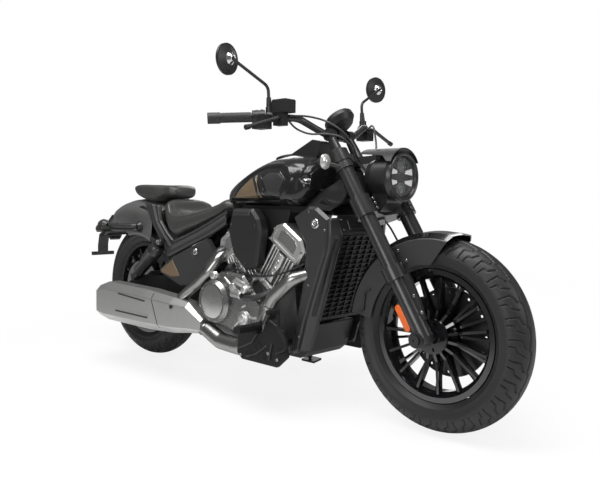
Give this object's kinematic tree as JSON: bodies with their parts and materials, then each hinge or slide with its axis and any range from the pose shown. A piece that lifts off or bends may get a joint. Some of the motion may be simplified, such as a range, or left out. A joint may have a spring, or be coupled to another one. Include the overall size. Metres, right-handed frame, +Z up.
{
  "type": "cruiser motorcycle",
  "caption": "Low cruiser motorcycle with a V engine, teardrop tank, raked fork and side muffler, leaning on its side stand; wheels, steering and stand move.",
  "frame": {"origin": "on the floor, under the middle of the whole machine's box", "axes": "+X forward along the machine, +Y to the rider's left, +Z up; it leans 9 degrees to +Y on its side stand"},
  "size_m": [2.412, 0.9468, 1.3252],
  "materials": {
    "tyre": "matte",
    "cast_wheel": "gloss",
    "disc_steel": "satin",
    "fork_black": "satin",
    "frame_black": "satin",
    "grip_rubber": "matte",
    "black_plastic": "satin",
    "fender_paint": "gloss",
    "tank_paint": "gloss",
    "bronze_trim": "satin",
    "seat_leather": "matte",
    "engine_black": "satin",
    "engine_silver": "satin",
    "exhaust_steel": "polished",
    "muffler_silver": "satin",
    "radiator_black": "satin",
    "lamp_black": "gloss",
    "lamp_glass": "clear",
    "tail_red": "gloss"
  },
  "bodies": {
    "chassis": {"frame": "frame_black", "swingarm": "frame_black", "rear_axle": "disc_steel", "rear_caliper": "fork_black", "rear_shocks": "fork_black", "stand_bracket": "frame_black", "crankcase": "engine_black", "engine_covers": "engine_silver", "front_cylinders": "engine_black", "rear_cylinders": "engine_black", "cylinder_heads": "engine_silver", "air_pods": "black_plastic", "radiator": "radiator_black", "radiator_shrouds": "black_plastic", "belly_pan": "black_plastic", "header_pipes": "exhaust_steel", "coolant_hose": "grip_rubber", "engine_cable": "grip_rubber", "muffler": "muffler_silver", "fuel_tank": "tank_paint", "tank_display": "black_plastic", "rider_seat": "seat_leather", "pillion_seat": "seat_leather", "rear_fender": "black_plastic", "seat_rail_panels": "bronze_trim", "side_covers": "black_plastic", "foot_controls": "frame_black", "drive_belt": "grip_rubber", "tail_carrier": "frame_black", "tail_lamps": "tail_red"},
    "rear_wheel": {"rear_tyre": "tyre", "rear_rim": "cast_wheel", "rear_disc": "disc_steel", "rear_pulley": "engine_black"},
    "steering": {"steering_clamps": "fork_black", "fork_uppers": "fork_black", "fork_lowers": "fork_black", "front_axle": "disc_steel", "handlebar": "fork_black", "grips": "grip_rubber", "bar_controls": "black_plastic", "mirrors": "black_plastic", "gauge": "black_plastic", "headlight": "lamp_black", "headlight_lens": "lamp_glass", "visor": "black_plastic", "front_fender": "fender_paint", "front_caliper": "fork_black", "control_cables": "grip_rubber", "front_indicators": "lamp_black"},
    "front_wheel": {"front_tyre": "tyre", "front_rim": "cast_wheel", "front_disc": "disc_steel"},
    "side_stand": {"side_stand": "frame_black"}
  },
  "joints": [
    {"name": "rear_wheel_spin", "type": "hinge", "parent": "chassis", "child": "rear_wheel", "pos_m": [-0.71399, -0.12835, 0.31902], "axis": [0, 0.9877, -0.1564], "continuous": true},
    {"name": "steering_turn", "type": "hinge", "parent": "chassis", "child": "steering", "pos_m": [0.54388, -0.05527, 0.78041], "axis": [-0.5299, 0.1327, 0.8376], "range_deg": [-32, 32]},
    {"name": "front_wheel_spin", "type": "hinge", "parent": "steering", "child": "front_wheel", "pos_m": [0.88601, -0.12882, 0.31606], "axis": [0, 0.9877, -0.1564], "continuous": true},
    {"name": "side_stand_fold", "type": "hinge", "parent": "chassis", "child": "side_stand", "pos_m": [-0.01399, 0.00784, 0.16887], "axis": [0, 0.9877, -0.1564], "range_deg": [0, 95]}
  ]
}
